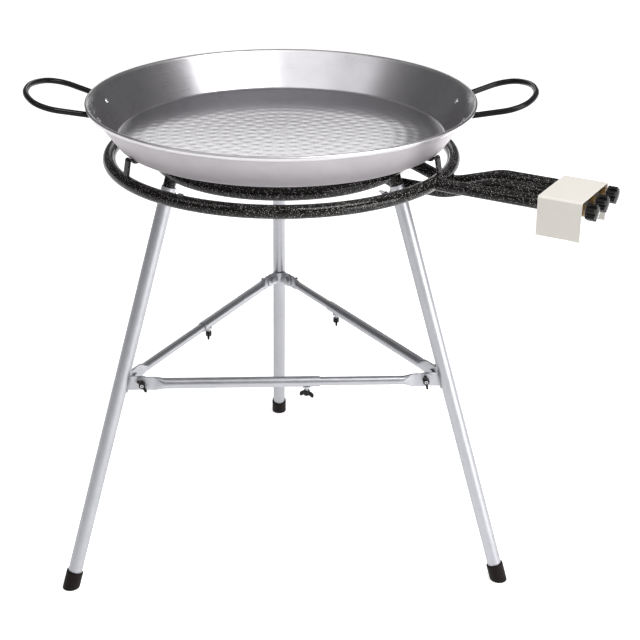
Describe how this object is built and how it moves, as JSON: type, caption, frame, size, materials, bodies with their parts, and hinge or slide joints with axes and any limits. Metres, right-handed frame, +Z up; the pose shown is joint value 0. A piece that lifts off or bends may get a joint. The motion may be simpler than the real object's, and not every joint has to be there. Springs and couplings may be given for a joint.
{
  "type": "paella burner",
  "caption": "Gas burner of concentric rings on a splayed tripod with telescopic braces, tap knobs under a plain cover, and a wide hammered paella pan on its supports.",
  "frame": {"origin": "on the floor under the common axis of the burner rings", "axes": "+Z up along the rings' axis, +X to the right towards the control end's side, +Y away from the viewer towards the rear leg"},
  "size_m": [0.951, 0.7722, 0.8343],
  "materials": {
    "pan_steel": "polished hammered steel",
    "handle_black": "gloss black paint",
    "rivet_steel": "bright steel",
    "enamel_black": "gloss black enamel with fine white specks",
    "cover_cream": "off-white powder coat",
    "bracket_dark": "dark satin steel",
    "tap_brass": "machined brass",
    "spindle_steel": "turned steel",
    "knob_black": "black moulding",
    "zinc_tube": "zinc plated",
    "foot_rubber": "moulded rubber",
    "wing_black": "black moulding"
  },
  "bodies": {
    "burner": {"outer_ring": "enamel_black", "middle_ring": "enamel_black", "inner_ring": "enamel_black", "outer_feed_tube": "enamel_black", "middle_feed_tube": "enamel_black", "inner_feed_tube": "enamel_black", "pan_supports": "enamel_black", "leg_spigots": "enamel_black", "control_cover": "cover_cream", "cover_screws": "rivet_steel", "tap_bracket": "bracket_dark", "gas_rail": "bracket_dark", "rail_plug": "tap_brass", "hose_nozzle": "tap_brass", "tap_bodies": "tap_brass", "gland_nuts": "tap_brass", "injectors": "tap_brass"},
    "pan": {"pan_bowl": "pan_steel", "pan_handle_left": "handle_black", "pan_handle_right": "handle_black", "pan_rivets": "rivet_steel"},
    "tap_front": {"tap_plug_front": "tap_brass"},
    "control_front": {"tap_spindle_front": "spindle_steel", "knob_front": "knob_black"},
    "tap_middle": {"tap_plug_middle": "tap_brass"},
    "control_middle": {"tap_spindle_middle": "spindle_steel", "knob_middle": "knob_black"},
    "tap_rear": {"tap_plug_rear": "tap_brass"},
    "control_rear": {"tap_spindle_rear": "spindle_steel", "knob_rear": "knob_black"},
    "stand_leg_left": {"leg_left": "zinc_tube", "foot_left": "foot_rubber", "leg_bracket_left": "zinc_tube", "brace_outer_front": "zinc_tube", "brace_bolts_left": "zinc_tube"},
    "stand_leg_right": {"leg_right": "zinc_tube", "foot_right": "foot_rubber", "leg_bracket_right": "zinc_tube", "brace_outer_right": "zinc_tube", "brace_bolts_right": "zinc_tube"},
    "stand_leg_rear": {"leg_rear": "zinc_tube", "foot_rear": "foot_rubber", "leg_bracket_rear": "zinc_tube", "brace_outer_left": "zinc_tube", "brace_bolts_rear": "zinc_tube"},
    "leg_lock_left": {"leg_lock_left": "zinc_tube"},
    "leg_lock_right": {"leg_lock_right": "zinc_tube"},
    "leg_lock_rear": {"leg_lock_rear": "zinc_tube"},
    "brace_inner_front": {"brace_inner_front": "zinc_tube"},
    "brace_lock_front": {"brace_lock_front": "wing_black"},
    "brace_inner_right": {"brace_inner_right": "zinc_tube"},
    "brace_lock_right": {"brace_lock_right": "wing_black"},
    "brace_inner_left": {"brace_inner_left": "zinc_tube"},
    "brace_lock_left": {"brace_lock_left": "wing_black"},
    "wing_nut_left_front": {"wing_nut_left_front": "wing_black"},
    "wing_nut_right_front": {"wing_nut_right_front": "wing_black"},
    "wing_nut_right_back": {"wing_nut_right_back": "wing_black"},
    "wing_nut_rear_right": {"wing_nut_rear_right": "wing_black"},
    "wing_nut_rear_left": {"wing_nut_rear_left": "wing_black"},
    "wing_nut_left_back": {"wing_nut_left_back": "wing_black"}
  },
  "joints": [
    {"name": "pan_lift", "type": "slide", "parent": "burner", "child": "pan", "axis": [0, 0, 1], "range_m": [0, 0.2]},
    {"name": "tap_turn_front", "type": "hinge", "parent": "burner", "child": "tap_front", "pos_m": [0.45182, -0.29609, 0.718], "axis": [0.8508, -0.5255, 0], "range_deg": [0, 180]},
    {"name": "knob_push_front", "type": "slide", "parent": "tap_front", "child": "control_front", "axis": [-0.8508, 0.5255, 0], "range_m": [0, 0.0025], "stiffness_N_per_m": 1200, "springref_m": -0.002},
    {"name": "tap_turn_middle", "type": "hinge", "parent": "burner", "child": "tap_middle", "pos_m": [0.47599, -0.25695, 0.718], "axis": [0.8508, -0.5255, 0], "range_deg": [0, 180]},
    {"name": "knob_push_middle", "type": "slide", "parent": "tap_middle", "child": "control_middle", "axis": [-0.8508, 0.5255, 0], "range_m": [0, 0.0025], "stiffness_N_per_m": 1200, "springref_m": -0.002},
    {"name": "tap_turn_rear", "type": "hinge", "parent": "burner", "child": "tap_rear", "pos_m": [0.50016, -0.21782, 0.718], "axis": [0.8508, -0.5255, 0], "range_deg": [0, 180]},
    {"name": "knob_push_rear", "type": "slide", "parent": "tap_rear", "child": "control_rear", "axis": [-0.8508, 0.5255, 0], "range_m": [0, 0.0025], "stiffness_N_per_m": 1200, "springref_m": -0.002},
    {"name": "leg_slide_left", "type": "slide", "parent": "burner", "child": "stand_leg_left", "axis": [-0.2595, -0.1498, -0.9541], "range_m": [0, 0.045]},
    {"name": "leg_slide_right", "type": "slide", "parent": "burner", "child": "stand_leg_right", "axis": [0.2595, -0.1498, -0.9541], "range_m": [0, 0.045]},
    {"name": "leg_slide_rear", "type": "slide", "parent": "burner", "child": "stand_leg_rear", "axis": [0, 0.2996, -0.9541], "range_m": [0, 0.045]},
    {"name": "leg_lock_turn_left", "type": "hinge", "parent": "stand_leg_left", "child": "leg_lock_left", "pos_m": [-0.17252, -0.0996, 0.67766], "axis": [0.8262, 0.477, -0.2996], "range_deg": [0, 360]},
    {"name": "leg_lock_turn_right", "type": "hinge", "parent": "stand_leg_right", "child": "leg_lock_right", "pos_m": [0.17252, -0.0996, 0.67766], "axis": [-0.8262, 0.477, -0.2996], "range_deg": [0, 360]},
    {"name": "leg_lock_turn_rear", "type": "hinge", "parent": "stand_leg_rear", "child": "leg_lock_rear", "pos_m": [0, 0.19921, 0.67766], "axis": [0, -0.9541, -0.2996], "range_deg": [0, 360]},
    {"name": "brace_slide_front", "type": "slide", "parent": "stand_leg_left", "child": "brace_inner_front", "axis": [1, 0, 0], "range_m": [0, 0.024]},
    {"name": "brace_lock_turn_front", "type": "hinge", "parent": "stand_leg_left", "child": "brace_lock_front", "pos_m": [0.03756, -0.15903, 0.346], "axis": [0, 0, -1], "range_deg": [0, 360]},
    {"name": "brace_slide_right", "type": "slide", "parent": "stand_leg_right", "child": "brace_inner_right", "axis": [-0.5, 0.866, 0], "range_m": [0, 0.024]},
    {"name": "brace_lock_turn_right", "type": "hinge", "parent": "stand_leg_right", "child": "brace_lock_right", "pos_m": [0.10344, 0.13889, 0.346], "axis": [0, 0, -1], "range_deg": [0, 360]},
    {"name": "brace_slide_left", "type": "slide", "parent": "stand_leg_rear", "child": "brace_inner_left", "axis": [-0.5, -0.866, 0], "range_m": [0, 0.024]},
    {"name": "brace_lock_turn_left", "type": "hinge", "parent": "stand_leg_rear", "child": "brace_lock_left", "pos_m": [-0.1345, 0.08509, 0.346], "axis": [0, 0, -1], "range_deg": [0, 360]},
    {"name": "wing_nut_turn_left_front", "type": "hinge", "parent": "stand_leg_left", "child": "wing_nut_left_front", "pos_m": [-0.23944, -0.16503, 0.366], "axis": [0, -1, 0], "range_deg": [0, 360]},
    {"name": "wing_nut_turn_right_front", "type": "hinge", "parent": "stand_leg_right", "child": "wing_nut_right_front", "pos_m": [0.23944, -0.16503, 0.366], "axis": [0, -1, 0], "range_deg": [0, 360]},
    {"name": "wing_nut_turn_right_back", "type": "hinge", "parent": "stand_leg_right", "child": "wing_nut_right_back", "pos_m": [0.26264, -0.12485, 0.366], "axis": [0.866, 0.5, 0], "range_deg": [0, 360]},
    {"name": "wing_nut_turn_rear_right", "type": "hinge", "parent": "stand_leg_rear", "child": "wing_nut_rear_right", "pos_m": [0.0232, 0.28987, 0.366], "axis": [0.866, 0.5, 0], "range_deg": [0, 360]},
    {"name": "wing_nut_turn_rear_left", "type": "hinge", "parent": "stand_leg_rear", "child": "wing_nut_rear_left", "pos_m": [-0.0232, 0.28987, 0.366], "axis": [-0.866, 0.5, 0], "range_deg": [0, 360]},
    {"name": "wing_nut_turn_left_back", "type": "hinge", "parent": "stand_leg_left", "child": "wing_nut_left_back", "pos_m": [-0.26264, -0.12485, 0.366], "axis": [-0.866, 0.5, 0], "range_deg": [0, 360]}
  ],
  "couplings": [
    {"joint": "leg_slide_right", "follows": "leg_slide_left", "ratio": 1},
    {"joint": "leg_slide_rear", "follows": "leg_slide_left", "ratio": 1},
    {"joint": "brace_slide_front", "follows": "leg_slide_left", "ratio": 0.51899},
    {"joint": "brace_slide_right", "follows": "leg_slide_left", "ratio": 0.51899},
    {"joint": "brace_slide_left", "follows": "leg_slide_left", "ratio": 0.51899}
  ]
}
